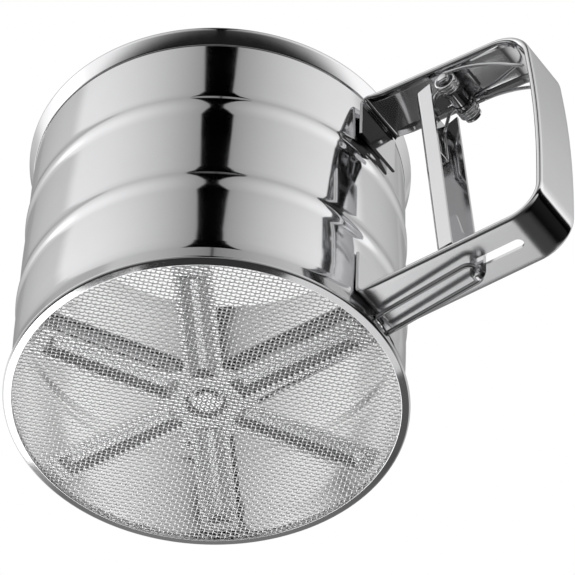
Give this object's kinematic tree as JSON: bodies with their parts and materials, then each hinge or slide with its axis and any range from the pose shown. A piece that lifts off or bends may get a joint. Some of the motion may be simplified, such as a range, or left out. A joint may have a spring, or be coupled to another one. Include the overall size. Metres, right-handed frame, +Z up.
{
  "type": "flour sifter",
  "caption": "Hand flour sifter: beaded steel cup with a woven screen base, star agitator above it, and a strap handle with a sprung squeeze lever.",
  "frame": {"origin": "centre of the base ring, on the plane it stands on", "axes": "+Z up along the cup's axis, +X from the cup towards the handle's grip"},
  "size_m": [0.1509, 0.1, 0.086],
  "materials": {
    "cup_steel": "polished stainless steel",
    "ring_steel": "polished stainless steel",
    "screen_wire": "bright drawn wire",
    "bracket_steel": "polished stainless steel",
    "agitator_steel": "polished stainless steel",
    "rivet_steel": "polished stainless steel",
    "washer_steel": "polished stainless steel",
    "spacer_steel": "polished stainless steel",
    "strap_steel": "polished stainless steel",
    "hinge_steel": "polished stainless steel",
    "pin_steel": "polished stainless steel",
    "retainer_steel": "polished stainless steel",
    "lever_steel": "polished stainless steel",
    "tab_steel": "polished stainless steel",
    "spring_wire": "bright drawn wire",
    "link_steel": "bright drawn wire"
  },
  "bodies": {
    "cup": {"cup_body": "cup_steel", "base_ring": "ring_steel", "screen_mesh": "screen_wire", "support_bracket": "bracket_steel", "pivot_rivet": "rivet_steel", "pivot_washer": "washer_steel", "pivot_spacer": "spacer_steel", "handle_strap": "strap_steel", "hinge_bracket": "hinge_steel", "hinge_pin": "pin_steel", "pin_retainer": "retainer_steel"},
    "lever": {"trigger_lever": "lever_steel", "pull_tab": "tab_steel", "return_spring": "spring_wire"},
    "star": {"agitator": "agitator_steel"},
    "link": {"link_wire": "link_steel"}
  },
  "joints": [
    {"name": "lever_squeeze", "type": "hinge", "parent": "cup", "child": "lever", "pos_m": [0.0725, 0, 0.0715], "axis": [0, -1, 0], "range_deg": [0, 7], "stiffness_Nm_per_rad": 0.35, "springref_deg": -6.88, "deforming": ["return_spring"]},
    {"name": "agitator_turn", "type": "hinge", "parent": "cup", "child": "star", "pos_m": [0, 0, 0.003], "axis": [0, 0, -1], "range_deg": [0, 40.1]},
    {"name": "link_swing", "type": "hinge", "parent": "star", "child": "link", "pos_m": [-0.0119, 0.0096, 0.003], "axis": [0, 0, 1], "range_deg": [0, 36.4]}
  ],
  "couplings": [
    {"joint": "agitator_turn", "follows": "lever_squeeze", "ratio": 5.7143},
    {"joint": "link_swing", "follows": "lever_squeeze", "ratio": 5.1857}
  ]
}
